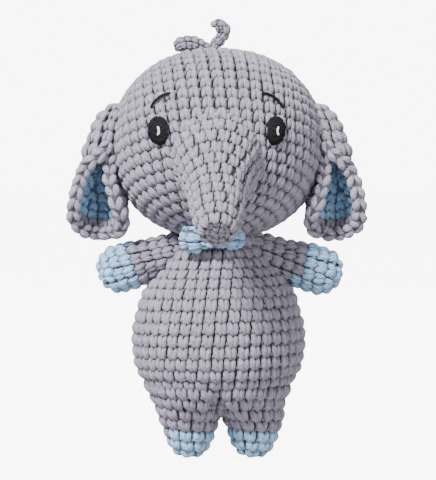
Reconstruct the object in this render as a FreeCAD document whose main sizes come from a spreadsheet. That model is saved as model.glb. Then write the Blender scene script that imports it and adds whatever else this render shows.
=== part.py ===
"""A crocheted, stuffed toy elephant that stands on its two feet, about 25 cm tall.

Every cover is a crocheted fabric shell over its own stuffing. The head, trunk, ears, arms, legs and curls
bend at the seams where they are sewn on, so each one ends in a ball that sits in a hollow of its neighbour.
Frame: +Z up, the face looks along -Y, left and right are the elephant's own, and left is +X.
"""
import FreeCAD, Part
import math
import os

import Sketcher

App = FreeCAD
DOC = App.newDocument("Elephant")
SHEET = DOC.addObject("Spreadsheet::Sheet", "Sizes")
UP, BACK, ACROSS = App.Vector(0, 0, 1), App.Vector(0, 1, 0), App.Vector(1, 0, 0)
NODES = []

SIZES = {
    "wall": 3.2,  # thickness of the crocheted fabric
    "ease": 0.3,  # air left between a cover and its stuffing
    "play": 0.4,  # air left between two pieces that move past each other
    "way_room": 2.0,  # room round a limb where it leaves its hollow
    # head
    "head_height": 179.0,
    "head_half_width": 61.2,
    "head_half_depth": 57.0,
    "head_half_tall": 54.3,
    # neck
    "neck_height": 118.0,
    "neck_ball": 16.0,
    "seam_height": 121.6,
    "seam_ring": 19.0,
    "seam_yarn": 1.0,
    # shoulders and hips
    "arm_out": 29.0,
    "arm_height": 116.0,
    "arm_ball": 10.4,
    "arm_droop": 17.0,
    "hand_start": 16.5,
    "leg_left": 20.2,
    "leg_right": 16.2,
    "leg_forward": 3.4,
    "hip_height": 31.0,
    "hip_ball": 15.4,
    "left_foot_tall": 17.0,
    "right_foot_tall": 14.0,
    # trunk
    "trunk_root_forward": 50.0,
    "trunk_root_height": 171.0,
    "trunk_dip": 40.8,
    "trunk_bend": 28.0,
    "trunk_ball": 17.6,
    # ears
    "ear_forward": 8.0,
    "ear_top_out": 61.6,
    "ear_top_height": 199.6,
    "ear_tilt": 4.6,
    "ear_back_wall": 3.0,
    "ear_wall": 5.5,
    "ear_slot_out": 68.4,
    "ear_slot_height": 151.5,
    "ear_slot_half_wide": 7.0,
    "ear_slot_half_tall": 20.0,
    "ear_border": 7.0,
    "ear_root_out": 59.4,
    "ear_root_height": 197.6,
    "ear_root_ball": 4.0,
    # face
    "eye_out": 32.5,
    "eye_height": 184.0,
    "eye_half_wide": 5.4,
    "eye_half_tall": 8.2,
    "eye_thick": 1.8,
    "glint_half_wide": 1.0,
    "glint_half_tall": 2.8,
    "glint_thick": 0.8,
    "brow_out": 24.0,
    "brow_height": 189.3,
    "brow_bow": 14.5,
    "brow_yarn": 1.4,
    "brow_sweep": 66.0,
    "skin_gap": 0.15,
    # bow tie
    "bow_forward": 33.0,
    "bow_aside": 2.5,
    "bow_height": 122.0,
    # curls on the crown
    "crown_height": 234.8,
    "left_curl_out": 1.2,
    "left_curl_tall": 10.6,
    "left_curl_foot": 3.4,
    "left_curl_knob": 4.4,
    "left_curl_lean": 22.0,
    "right_curl_out": 15.4,
    "right_curl_height": 235.6,
    "right_curl_half_long": 9.4,
    "right_curl_half_tall": 4.1,
    "right_curl_droop": 8.0,
    # the whole toy's shift that puts its box over the origin
    "stand_back": 24.97,
}

# Each profile is the outside of a turned cover: radius and distance along its axis, from one end to the other.
PROFILES = {
    "torso": [(27.0, 24.2), (33.0, 26.4), (37.4, 31.0), (41.2, 39.0), (45.4, 49.0), (48.4, 60.0), (48.6, 72.0),
              (46.4, 83.0), (42.2, 95.5), (35.0, 106.0), (27.4, 116.0), (24.0, 120.0)],
    "leg": [(6.8, 0.0), (10.8, 4.6), (13.0, 11.0), (14.4, 17.5), (15.4, 24.0), (15.4, 31.0)],
    "arm": [(10.4, 0.0), (10.8, 9.0), (12.0, 18.5), (12.8, 28.0), (11.4, 36.0), (6.6, 41.0)],
    "trunk": [(17.6, 28.0), (16.4, 37.0), (15.0, 48.0), (13.8, 58.0), (12.4, 64.5), (8.4, 67.6)],
    "ear": [(2.2, 0.0), (6.9, 6.0), (10.0, 13.0), (12.6, 20.5), (14.6, 28.0), (16.2, 35.0), (17.6, 42.0),
            (18.3, 49.0), (18.0, 56.0), (16.0, 63.0), (12.4, 69.0), (7.4, 73.6)],
    "bow": [(3.4, 3.9), (5.6, 8.0), (7.0, 12.4), (6.4, 16.0), (3.4, 18.4)],
    "knot": [(4.2, -3.6), (5.0, -1.6), (5.0, 1.6), (4.2, 3.6)],
    "bridge": [(27.2, -12.0), (27.0, -4.0), (25.6, 4.0), (23.2, 11.0), (20.8, 17.6), (19.0, 22.5)],
}
ARM_TIP, EAR_TIP = 43.0, 75.6

# The angles, in degrees, between which each limb swings, with forward positive.
SWINGS = {"arm": (-15.0, 45.0), "leg": (-15.0, 35.0)}


def fill_sheet():
    """Writes every driving dimension into its own named cell."""
    cells = dict(SIZES)
    cells["arm_tip"], cells["ear_tip"] = ARM_TIP, EAR_TIP
    for name, stations in PROFILES.items():
        for i, (radius, along) in enumerate(stations):
            cells[f"{name}_wide_{i}"] = radius
            cells[f"{name}_along_{i}"] = along
    for row, (alias, value) in enumerate(cells.items(), start=1):
        SHEET.set(f"A{row}", alias.replace("_", " "))
        SHEET.set(f"B{row}", str(value))
        SHEET.setAlias(f"B{row}", alias)
    DOC.recompute()


def size(alias):
    return float(SHEET.get(alias))


def bind(thing, **formulas):
    """Ties each property of an object to a formula of the sheet's cells."""
    for prop, formula in formulas.items():
        thing.setExpression(prop, formula)
    return thing


def put(thing, x=0.0, y=0.0, z=0.0, turn=None):
    """Places an object, turned by a rotation if one is given."""
    thing.Placement = App.Placement(App.Vector(x, y, z), turn or App.Rotation())
    return thing


def sphere(name, radius):
    return bind(DOC.addObject("Part::Sphere", name), Radius=radius)


def ellipsoid(name, across, deep, tall):
    return bind(DOC.addObject("Part::Ellipsoid", name), Radius1=tall, Radius2=across, Radius3=deep)


def cone(name, lower, upper, tall):
    return bind(DOC.addObject("Part::Cone", name), Radius1=lower, Radius2=upper, Height=tall)


def cylinder(name, radius, tall):
    return bind(DOC.addObject("Part::Cylinder", name), Radius=radius, Height=tall)


def cut(name, base, tool):
    made = DOC.addObject("Part::Cut", name)
    made.Base, made.Tool = base, tool
    return made


def common(name, base, tool):
    made = DOC.addObject("Part::Common", name)
    made.Base, made.Tool = base, tool
    return made


def fuse(name, *shapes):
    made = DOC.addObject("Part::MultiFuse", name)
    made.Shapes = list(shapes)
    return made


def node(thing, label):
    """Marks an object as a finished sub-part, and names it."""
    thing.Label = label
    NODES.append(thing)
    return thing


def turned(name, stations):
    """A body turned about its own Z axis. Each station is a pair of formulas: radius, or None on the axis, and height."""
    body = DOC.addObject("PartDesign::Body", name)
    sketch = body.newObject("Sketcher::SketchObject", name + "_profile")
    plane = next(f for f in body.Origin.OriginFeatures if f.Role == "XZ_Plane")
    sketch.AttachmentSupport = [(plane, "")]
    sketch.MapMode = "FlatFace"
    DOC.recompute()
    values = [(0.0 if r is None else worth(r), worth(h)) for r, h in stations]
    count = len(stations)
    for i in range(count):
        a, b = values[i], values[(i + 1) % count]
        sketch.addGeometry(Part.LineSegment(App.Vector(a[0], a[1], 0), App.Vector(b[0], b[1], 0)), False)
    for i in range(count):
        sketch.addConstraint(Sketcher.Constraint("Coincident", i, 2, (i + 1) % count, 1))
    for i, (radius, height) in enumerate(stations):
        if radius is None:
            sketch.addConstraint(Sketcher.Constraint("PointOnObject", i, 1, -2))
        else:
            measure(sketch, "DistanceX", i, values[i][0], radius)
        if abs(values[i][1]) < 1e-9:
            sketch.addConstraint(Sketcher.Constraint("PointOnObject", i, 1, -1))
        else:
            measure(sketch, "DistanceY", i, values[i][1], height)
    spin = body.newObject("PartDesign::Revolution", name + "_turned")
    spin.Profile = sketch
    spin.ReferenceAxis = (sketch, ["V_Axis"])
    spin.Angle = 360.0
    DOC.recompute()
    return body


def measure(sketch, kind, corner, value, formula):
    """Fixes one coordinate of a profile's corner, and ties it to a formula."""
    index = sketch.addConstraint(Sketcher.Constraint(kind, -1, 1, corner, 1, value))
    sketch.setExpression(f"Constraints[{index}]", formula)


def worth(formula):
    """The number that a formula of the sheet's cells gives now."""
    names = {a: size(a) for a in CELLS if a in formula}
    total = 0.0
    for term in formula.replace("Sizes.", "").replace(" - ", " + -").split(" + "):
        sign = -1.0 if term.startswith("-") else 1.0
        term = term.lstrip("-").strip()
        total += sign * (names[term] if term in names else float(term))
    return total


def profile(name, inset=""):
    """The stations of a named profile, each radius less the inset, from its first to its last."""
    return [(f"Sizes.{name}_wide_{i}{inset}", f"Sizes.{name}_along_{i}") for i in range(len(PROFILES[name]))]


def capped(stations, low, high):
    """Closes a profile onto the axis at a low and a high end."""
    ends = [(stations[0][0], low)] + stations[1:-1] + [(stations[-1][0], high)]
    return [(None, low)] + ends + [(None, high)]


INSIDE = " - Sizes.wall"
FILLING = " - Sizes.wall - Sizes.ease"
EAR_BACK = " - Sizes.ear_back_wall"
EAR_SEAM = " - Sizes.ear_back_wall - Sizes.skin_gap"
EAR_INNER = " - Sizes.ear_wall"
# The first station of the ear's profile that is wide enough to hold each layer.
FIRST = {"": 0, EAR_BACK: 1, EAR_SEAM: 1, EAR_INNER: 2}


def torso():
    """The pear-shaped trunk of the body with its neck ball, hollowed for the shoulders and hips."""
    last = len(PROFILES["torso"]) - 1
    low, high = "Sizes.torso_along_0", f"Sizes.torso_along_{last}"
    outer = turned("torso_outer", capped(profile("torso"), low, high))
    inner = turned("torso_inner", capped(profile("torso", INSIDE), low + " + Sizes.wall", high + INSIDE))
    filling = turned("torso_filling", capped(profile("torso", FILLING), low + " + Sizes.wall + Sizes.ease",
                                             high + FILLING))
    neck = [put(sphere(f"neck_{k}", f"Sizes.neck_ball{less}"), z=size("neck_height"))
            for k, less in (("outer", ""), ("inner", INSIDE), ("filling", FILLING))]
    skin = cut("torso_skin", fuse("torso_full", outer, neck[0]), fuse("torso_hollow", inner, neck[1]))
    sockets = fuse("sockets", *[socket(side, part) for side in (1, -1) for part in ("arm", "leg")])
    node(cut("torso_cover_cut", skin, sockets), "body_cover")
    again = fuse("sockets_again", *[socket(side, part, "_again") for side in (1, -1) for part in ("arm", "leg")])
    stuffed = fuse("torso_stuffed", filling, neck[2])
    node(cut("torso_stuffing_cut", stuffed, again), "body_stuffing")


def leg_place(side):
    """The hip's pivot. The left leg, at +X, stands a little further out than the right one."""
    out = size("leg_left") if side > 0 else -size("leg_right")
    return App.Vector(out, -size("leg_forward"), size("hip_height"))


def arm_turn(side):
    """Turns a part built along +Z so that it points out to one side and droops."""
    return App.Rotation(BACK, side * (90 + size("arm_droop")))


def arm_place(side):
    return App.Vector(side * size("arm_out"), 0, size("arm_height"))


def socket(side, part, tag=""):
    """The hollow that a limb swings in: a ball, with a round way out at every 15 degrees of the swing."""
    word = ("left" if side > 0 else "right") + "_" + part + tag
    ball = "hip_ball" if part == "leg" else "arm_ball"
    parts = [sphere(word + "_socket_ball", f"Sizes.{ball} + Sizes.play")]
    if part == "leg":
        place, turn, pin = leg_place(side), App.Rotation(ACROSS, 180), ACROSS
    else:
        place, turn, pin = arm_place(side), arm_turn(side), UP * side
    low, high = SWINGS[part]
    angle = low
    while angle < high + 1.0:
        way = cylinder(f"{word}_way_{len(parts)}", f"Sizes.{ball} + Sizes.way_room", "40")
        swung = App.Rotation(pin, -min(angle, high))
        way.Placement = App.Placement(App.Vector(), swung.multiply(turn))
        parts.append(way)
        angle += 15.0
    hollow = fuse(word + "_socket", *parts)
    hollow.Placement = App.Placement(place, App.Rotation())
    return hollow


def neck_seam():
    """The yarn that sews the head to the body, one ring of it round the neck."""
    ring = DOC.addObject("Part::Torus", "neck_seam_ring")
    bind(ring, Radius1="Sizes.seam_ring", Radius2="Sizes.seam_yarn")
    node(put(ring, z=size("seam_height")), "neck_seam_yarn")


def head_form(name, more):
    """The head's egg, grown by a formula on every side."""
    form = ellipsoid(name, f"Sizes.head_half_width{more}", f"Sizes.head_half_depth{more}",
                     f"Sizes.head_half_tall{more}")
    return put(form, z=size("head_height"))


def dents(tag):
    """The hollows in the head's surface that the ears' roots and the curls' feet turn in."""
    made = []
    for side, word in ((1, "left"), (-1, "right")):
        root = sphere(f"{word}_ear_dent_{tag}", "Sizes.ear_root_ball + Sizes.play")
        made.append(put(root, side * size("ear_root_out"), -size("ear_forward"), size("ear_root_height")))
    foot = sphere(f"curl_dent_{tag}", "Sizes.left_curl_foot + Sizes.play")
    made.append(put(foot, -size("left_curl_out"), 0, size("crown_height")))
    return made


def head():
    """The head's cover and stuffing, with the hollow that the neck's ball fills."""
    for label, outer, inner in (("head_cover", "", INSIDE), ("head_stuffing", FILLING, None)):
        solid = head_form(label + "_egg", outer)
        if inner:
            solid = cut(label + "_shell", solid, head_form(label + "_hollow", inner))
        neck = put(sphere(label + "_neck", "Sizes.neck_ball + Sizes.play"), z=size("neck_height"))
        node(cut(label + "_cut", solid, fuse(label + "_hollows", neck, *dents(label))), label)


def head_skin(name, low, high):
    """A thin shell over the head's cover, between two heights above it."""
    return cut(name, head_form(name + "_top", " + " + high), head_form(name + "_under", " + " + low))


def face(side, word):
    """An embroidered eye with its white glint, and the brow above it, all lying on the head's cover."""
    ahead = -size("head_half_depth") - 10.0
    eye = put(ellipsoid(word + "_eye_outline", "Sizes.eye_half_wide", "Sizes.head_half_depth",
                        "Sizes.eye_half_tall"), side * size("eye_out"), ahead, size("eye_height"))
    pad = head_skin(word + "_eye_skin", "Sizes.skin_gap", "Sizes.eye_thick")
    node(common(word + "_eye_pad", pad, eye), word + "_eye")
    glint = put(ellipsoid(word + "_glint_outline", "Sizes.glint_half_wide", "Sizes.head_half_depth",
                          "Sizes.glint_half_tall"), side * size("eye_out"), ahead, size("eye_height"))
    top = head_skin(word + "_glint_skin", "Sizes.eye_thick + Sizes.skin_gap",
                    "Sizes.eye_thick + Sizes.glint_thick")
    node(common(word + "_glint_pad", top, glint), word + "_eye_glint")
    rings = []
    for k, radius in (("outer", "Sizes.brow_bow + Sizes.brow_yarn / 2"), ("inner", "Sizes.brow_bow - Sizes.brow_yarn / 2")):
        disc = cylinder(f"{word}_brow_{k}", radius, "Sizes.head_half_depth")
        bind(disc, Angle="Sizes.brow_sweep")
        start = 90.0 - (size("brow_sweep") if side > 0 else 0.0)
        stand = App.Rotation(ACROSS, 90).multiply(App.Rotation(UP, start))
        rings.append(put(disc, side * size("brow_out"), 0.0, size("brow_height"), stand))
    arc = cut(word + "_brow_arc", *rings)
    skin = head_skin(word + "_brow_skin", "Sizes.skin_gap", "Sizes.brow_yarn")
    node(common(word + "_brow_pad", skin, arc), word + "_brow")


def trunk_turn():
    """Turns a part built along +Z so that it points forward and down."""
    return App.Rotation(ACROSS, 90 + size("trunk_dip"))


def trunk_point(along):
    dip = math.radians(size("trunk_dip"))
    ahead = App.Vector(0, -math.cos(dip), -math.sin(dip))
    return App.Vector(0, -size("trunk_root_forward"), size("trunk_root_height")) + ahead * along


def trunk():
    """The trunk's sewn root, which stays with the head, and the part that bends, with its stuffing."""
    last = len(PROFILES["bridge"]) - 1
    rim = turned("trunk_bridge", capped(profile("bridge"), "Sizes.bridge_along_0", f"Sizes.bridge_along_{last}"))
    rim.Placement = App.Placement(trunk_point(0), trunk_turn())
    bed = head_form("trunk_base_bed", " + Sizes.skin_gap")
    hollow = sphere("trunk_base_hollow", "Sizes.trunk_ball + Sizes.play")
    hollow.Placement = App.Placement(trunk_point(size("trunk_bend")), App.Rotation())
    node(cut("trunk_base_cut", cut("trunk_base_fit", rim, bed), hollow), "trunk_base")
    last = len(PROFILES["trunk"]) - 1
    forms = []
    for k, less in (("outer", ""), ("inner", INSIDE), ("filling", FILLING)):
        tube = turned(f"trunk_{k}", capped(profile("trunk", less), "Sizes.trunk_along_0",
                                          f"Sizes.trunk_along_{last}{less}"))
        ball = put(sphere(f"trunk_{k}_ball", f"Sizes.trunk_ball{less}"), z=size("trunk_bend"))
        forms.append(fuse(f"trunk_{k}_full", tube, ball))
    for thing, label in ((cut("trunk_shell", *forms[:2]), "trunk_cover"), (forms[2], "trunk_stuffing")):
        thing.Placement = App.Placement(trunk_point(0), trunk_turn())
        node(thing, label)


def limb(side, word, part, colour_part, ball, tip, colour_from, colour_to):
    """A stuffed limb: a ball at the joint, a turned tube, and the end worked in the second colour."""
    last = len(PROFILES[part]) - 1
    low, high = (tip, f"Sizes.{part}_along_{last}") if part == "leg" else ("Sizes.arm_along_0", tip)
    ball_at = size(f"{part}_along_{last}") if part == "leg" else 0.0
    forms = []
    for k, less, less_low in (("outer", "", ""), ("inner", INSIDE, " + Sizes.wall"),
                              ("filling", FILLING, " + Sizes.wall + Sizes.ease")):
        stations = profile(part, less)
        if part == "leg":
            shape = capped(stations, f"{low}{less_low}", high)
        else:
            shape = [(None, low)] + stations + [(None, f"{high}{less}")]
        tube = turned(f"{word}_{part}_{k}", shape)
        round_end = put(sphere(f"{word}_{part}_{k}_ball", f"Sizes.{ball}{less}"), z=ball_at)
        forms.append(fuse(f"{word}_{part}_{k}_full", tube, round_end))
    reach = 40.0
    blocks = []
    for k in ("sleeve", "end"):
        block = DOC.addObject("Part::Box", f"{word}_{part}_{k}_block")
        bind(block, Length=str(2 * reach), Width=str(2 * reach), Height=f"{colour_to} - {colour_from}")
        blocks.append(put(block, -reach, -reach, worth(colour_from)))
    shells = [cut(f"{word}_{part}_{k}_shell", forms[0], forms[1]) for k in ("sleeve", "end")]
    sleeve = cut(f"{word}_{part}_sleeve", shells[0], blocks[0])
    end = common(f"{word}_{part}_end", shells[1], blocks[1])
    if part == "leg":
        place = App.Placement(leg_place(side) - UP * size("hip_height"), App.Rotation())
    else:
        place = App.Placement(arm_place(side), arm_turn(side))
    for thing, label in ((sleeve, f"{word}_{part}_cover"), (end, f"{word}_{colour_part}_cover"),
                         (forms[2], f"{word}_{part}_stuffing")):
        thing.Placement = place
        node(thing, label)


def ear_form(side, name, less):
    """A hanging egg that lies against the side of the head, smaller all over by a formula."""
    stations = [(f"Sizes.ear_wide_{i}{less}", f"Sizes.ear_along_{i}")
                for i in range(FIRST[less], len(PROFILES["ear"]))]
    egg = turned(name + "_egg", [(None, stations[0][1])] + stations + [(None, f"Sizes.ear_tip{less}")])
    egg.Placement = App.Placement(App.Vector(side * size("ear_top_out"), -size("ear_forward"), size("ear_top_height")),
                                  App.Rotation(BACK, side * (180.0 - size("ear_tilt"))))
    bed = head_form(name + "_bed", " + Sizes.play" + less.replace(" - ", " + "))
    return cut(name, egg, bed)


def ear_opening(side, name, more):
    """The long hole at the front of the ear, wider by a formula."""
    hole = ellipsoid(name, f"Sizes.ear_slot_half_wide{more}", "28", f"Sizes.ear_slot_half_tall{more}")
    lean = App.Rotation(BACK, -side * size("ear_tilt"))
    return put(hole, side * size("ear_slot_out"), -size("ear_forward") - 22.0, size("ear_slot_height"), lean)


def ear(side, word):
    """A cupped ear: a grey back, a lining in the second colour and a thick border round the opening."""
    outer = [ear_form(side, f"{word}_ear_outer_{k}", "") for k in ("back", "border")]
    middle = [ear_form(side, f"{word}_ear_middle_{k}", less) for k, less in (("back", EAR_BACK), ("lining", EAR_SEAM))]
    inner = [ear_form(side, f"{word}_ear_inner_{k}", EAR_INNER) for k in ("lining", "border")]
    wide = [ear_opening(side, f"{word}_ear_wide_{k}", " + Sizes.ear_border") for k in ("back", "lining")]
    ring = ear_opening(side, f"{word}_ear_ring", " + Sizes.ear_border - Sizes.skin_gap")
    narrow = ear_opening(side, f"{word}_ear_narrow", "")
    shell = cut(f"{word}_ear_back_cut", cut(f"{word}_ear_back_shell", outer[0], middle[0]), wide[0])
    root = put(sphere(f"{word}_ear_root", "Sizes.ear_root_ball"), side * size("ear_root_out"), -size("ear_forward"),
               size("ear_root_height"))
    back = fuse(f"{word}_ear_back_rooted", shell, root)
    lining = cut(f"{word}_ear_lining_cut", cut(f"{word}_ear_lining_shell", middle[1], inner[0]), wide[1])
    shell = cut(f"{word}_ear_border_shell", outer[1], inner[1])
    border = cut(f"{word}_ear_border_cut", common(f"{word}_ear_border_zone", shell, ring), narrow)
    for thing, label in ((back, "ear_back"), (lining, "ear_lining"), (border, "ear_border")):
        node(thing, f"{word}_{label}")


def bow_tie():
    """A crocheted strip pinched in the middle by a wrap of yarn, sewn on at the front of the neck."""
    last = len(PROFILES["bow"]) - 1
    centre = App.Vector(-size("bow_aside"), -size("bow_forward"), size("bow_height"))
    lobes = []
    for word, side in (("left", 1), ("right", -1)):
        lobe = turned(f"bow_{word}_lobe", capped(profile("bow"), "Sizes.bow_along_0", f"Sizes.bow_along_{last}"))
        lobe.Placement = App.Placement(centre, App.Rotation(BACK, side * 90.0))
        lobes.append(lobe)
    node(fuse("bow_lobes", *lobes), "bow_loops")
    end = len(PROFILES["knot"]) - 1
    wrap = turned("bow_wrap", capped(profile("knot"), "Sizes.knot_along_0", f"Sizes.knot_along_{end}"))
    wrap.Placement = App.Placement(centre, App.Rotation(BACK, 90.0))
    node(wrap, "bow_knot")


def curls():
    """Two short crocheted curls on the crown: one stands up and hooks over, the other lies down."""
    stem = cone("left_curl_stem", "Sizes.left_curl_foot - 0.2", "Sizes.left_curl_foot - 0.2",
                "Sizes.left_curl_tall")
    bind(stem, Radius2="Sizes.left_curl_foot")
    foot = sphere("left_curl_foot_ball", "Sizes.left_curl_foot")
    knob = put(sphere("left_curl_top", "Sizes.left_curl_knob"), -0.8, 0, size("left_curl_tall"))
    curl = fuse("left_curl_shape", foot, stem, knob)
    lean = App.Rotation(BACK, size("left_curl_lean"))
    node(put(curl, -size("left_curl_out"), 0, size("crown_height"), lean), "left_hair_curl")
    lying = ellipsoid("right_curl_shape", "Sizes.right_curl_half_long", "Sizes.right_curl_half_tall + 1",
                      "Sizes.right_curl_half_tall")
    droop = App.Rotation(BACK, -size("right_curl_droop"))
    put(lying, -size("right_curl_out"), 0, size("right_curl_height"), droop)
    bed = head_form("right_curl_bed", " + Sizes.play")
    node(cut("right_curl_cut", lying, bed), "right_hair_curl")


def check_and_write():
    """Stops on any object that failed, then writes each finished sub-part as a STEP file."""
    back = App.Placement(App.Vector(0, size("stand_back"), 0), App.Rotation())
    for thing in NODES:
        thing.Placement = back.multiply(thing.Placement)
    DOC.recompute()
    failed = [o.Name for o in DOC.Objects if set(o.State) & {"Invalid", "Error"}]
    if failed:
        raise SystemExit(f"these objects failed: {failed}")
    os.makedirs("parts", exist_ok=True)
    for old in os.listdir("parts"):
        if old.endswith(".step"):
            os.remove(os.path.join("parts", old))
    for thing in NODES:
        shape = thing.Shape
        if shape.isNull() or not shape.isValid() or not shape.Solids:
            raise SystemExit(f"{thing.Label} has no valid solid")
        shape.exportStep(os.path.join("parts", thing.Label + ".step"))
        box = shape.BoundBox
        print(f"{thing.Label}: {len(shape.Solids)} solid(s), {shape.Volume / 1000:.2f} cm3, "
              f"z {box.ZMin:.1f} to {box.ZMax:.1f}")


fill_sheet()
CELLS = sorted([SHEET.getAlias(f"B{row}") for row in range(1, 400) if SHEET.getAlias(f"B{row}")],
               key=len, reverse=True)
torso()
neck_seam()
head()
trunk()
for SIDE, WORD in ((1, "left"), (-1, "right")):
    face(SIDE, WORD)
    ear(SIDE, WORD)
    limb(SIDE, WORD, "arm", "hand", "arm_ball", "Sizes.arm_tip", "Sizes.hand_start", "Sizes.arm_tip + 5")
    limb(SIDE, WORD, "leg", "foot", "hip_ball", "Sizes.leg_along_0", "Sizes.leg_along_0", f"Sizes.{WORD}_foot_tall")
bow_tie()
curls()
check_and_write()
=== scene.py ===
import math

import bpy
import numpy as np
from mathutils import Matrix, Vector


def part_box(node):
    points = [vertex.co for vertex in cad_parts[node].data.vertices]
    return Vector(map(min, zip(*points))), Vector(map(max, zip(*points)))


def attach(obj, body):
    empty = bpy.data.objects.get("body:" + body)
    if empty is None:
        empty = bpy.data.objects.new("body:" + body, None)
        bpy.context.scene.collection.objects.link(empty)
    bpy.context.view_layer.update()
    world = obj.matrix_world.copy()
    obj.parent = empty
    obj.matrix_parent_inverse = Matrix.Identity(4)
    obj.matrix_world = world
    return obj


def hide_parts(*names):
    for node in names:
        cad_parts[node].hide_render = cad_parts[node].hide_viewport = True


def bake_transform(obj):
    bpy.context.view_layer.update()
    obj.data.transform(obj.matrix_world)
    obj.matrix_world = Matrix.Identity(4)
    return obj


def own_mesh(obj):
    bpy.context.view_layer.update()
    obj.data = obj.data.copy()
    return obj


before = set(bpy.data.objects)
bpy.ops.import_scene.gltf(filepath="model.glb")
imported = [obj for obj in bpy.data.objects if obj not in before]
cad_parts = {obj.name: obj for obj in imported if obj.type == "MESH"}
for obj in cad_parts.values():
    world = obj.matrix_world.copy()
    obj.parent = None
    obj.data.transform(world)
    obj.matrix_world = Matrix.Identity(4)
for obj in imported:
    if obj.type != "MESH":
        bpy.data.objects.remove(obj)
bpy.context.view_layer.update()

MM = 0.001
RNG = np.random.default_rng(41)
LOW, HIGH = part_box("body_cover")
AXIS_Y = (LOW.y + HIGH.y) / 2  # the toy's upright axis, in the row's frame

SIDES = (("left", 1), ("right", -1))  # the toy's own left is at +X

STITCH_WIDE = 6.9  # mm
STITCH_TALL = 7.0
YARN_THICK = 1.45  # half the thickness of the yarn's lobes
BED = 1.9  # how far the ground under the stitches lies below their nominal surface
LEAN = 0.10  # how far each round's stitches shift along from the round before, in stitches
CLOSING = 0.3  # how much of the round that closes a spiral's pole is left out
EASED = 0.22  # the share of a round, on each side of the back, where the columns ease into even spacing
# How much the stitches differ: in width, place across, height, place up, turn and how far they stand out.
WOBBLE = np.array([0.03, 0.025, 0.02, 0.02, 0.055, 0.12])
SKEW_OUT = 0.8  # how much of a surface's skew is taken out of its stitches
YARN_SCALE = (1, 1, 0.37)  # how the lobes lie in the yarn's texture
YARN_SPREAD = (60, 0, 9)  # how far apart the stitches lie in it
DEEP, DEPTH_RANGE = -2.0, 3.4  # the height in a stitch where the shade starts, and how far up it goes
NEAR = 2e-4  # a small step in u and v, for slopes
OVERRUN = 0.2  # how far a curve's first and last pieces may run on, in pieces


# ------------------------------------------------ surfaces, in mm about the toy's upright axis

def smooth(xs, ys):
    """A smooth curve through points, as a function: cubic pieces, level where a single value turns back."""
    xs, ys = np.asarray(xs, float), np.asarray(ys, float)
    step = np.diff(xs)
    rise = np.diff(ys, axis=0)
    rate = (rise.T / step).T
    slope = np.empty_like(ys)
    slope[1:-1] = (rate[:-1] + rate[1:]) / 2
    slope[0], slope[-1] = rate[0], rate[-1]
    if ys.ndim == 1:
        turns = rate[:-1] * rate[1:] <= 0
        slope[1:-1][turns] = 0

    def at(x):
        x = np.asarray(x, float)
        i = np.clip(np.searchsorted(xs, x, side="right") - 1, 0, len(step) - 1)
        h = step[i]
        t = (x - xs[i]) / h
        t = np.clip(t, -OVERRUN, 1 + OVERRUN)
        if ys.ndim > 1:
            h, t = h[..., None], t[..., None]
        a = (1 + 2 * t) * (1 - t) ** 2 * ys[i] + t * (1 - t) ** 2 * h * slope[i]
        return a + t * t * (3 - 2 * t) * ys[i + 1] + t * t * (t - 1) * h * slope[i + 1]

    return at


def so_far(line):
    """The length along a line of points, up to each of them."""
    return np.concatenate([[0], np.cumsum(np.linalg.norm(np.diff(line, axis=0), axis=1))])


def by_length(points):
    """A smooth curve through 2-D or 3-D points, as a function of its length's share, and its length."""
    points = np.asarray(points, float)
    rough = so_far(points)
    curve = smooth(rough, points)
    fine = np.linspace(0, rough[-1], 400)
    line = curve(fine)
    length = so_far(line)

    def at(share):
        share = np.asarray(share, float)
        x = np.interp(np.clip(share, 0, 1), length / length[-1], fine)
        over = np.where(share > 1, share - 1, np.where(share < 0, share, 0)) * length[-1]
        ends = np.where((share > 1)[..., None], line[-1] - line[-2], line[1] - line[0])
        ends = ends / np.linalg.norm(ends, axis=-1, keepdims=True)
        return curve(x) + ends * over[..., None]

    return at, length[-1]


def unit(v):
    """Vectors scaled to a length of 1."""
    return v / np.maximum(np.linalg.norm(v, axis=-1, keepdims=True), 1e-12)


HEAD_CENTRE = np.array([0.4, 0.0, 179.3])
HEAD_HALF = np.array([59.8, 56.4, 53.8])
HEAD_TILT = math.radians(22)  # how far back the crown is, where the rounds start
HEAD_POWER = 2.12  # 2 is an ellipsoid, and more is a little squarer


def head_direction(u, v):
    """Unit direction for a place on the head: v runs from the crown, tilted back, to under the chin."""
    t, turn = np.pi * v, 2 * np.pi * u
    x, y, z = -np.sin(t) * np.sin(turn), np.sin(t) * np.cos(turn), np.cos(t)
    c, s = math.cos(HEAD_TILT), math.sin(HEAD_TILT)
    return np.stack([x, y * c + z * s, z * c - y * s], -1)


def head_surface(u, v):
    d = head_direction(u, v)
    d = d / (np.abs(d) ** HEAD_POWER).sum(-1, keepdims=True) ** (1 / HEAD_POWER)
    return HEAD_CENTRE + d * HEAD_HALF


def head_front(x, z, proud):
    """The head's front surface at places across and up, and a little proud of it."""
    half_x, half_y, half_z = (half + proud for half in HEAD_HALF)
    across = np.abs((x - HEAD_CENTRE[0]) / half_x) ** HEAD_POWER
    up = np.abs((z - HEAD_CENTRE[2]) / half_z) ** HEAD_POWER
    y = -half_y * np.maximum(1 - across - up, 1e-6) ** (1 / HEAD_POWER)
    return np.stack(np.broadcast_arrays(x, y, z), -1)


def turned_surface(profile, centre):
    """A surface turned about an upright axis at x = centre, from (height, radius) points."""
    line, length = by_length(profile)

    def at(u, v):
        p = line(v)
        turn = -2 * np.pi * u
        r = np.maximum(p[..., 1], 0.02)
        return np.stack([centre + r * np.sin(turn), r * np.cos(turn), p[..., 0]], -1)

    return at, length


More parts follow.
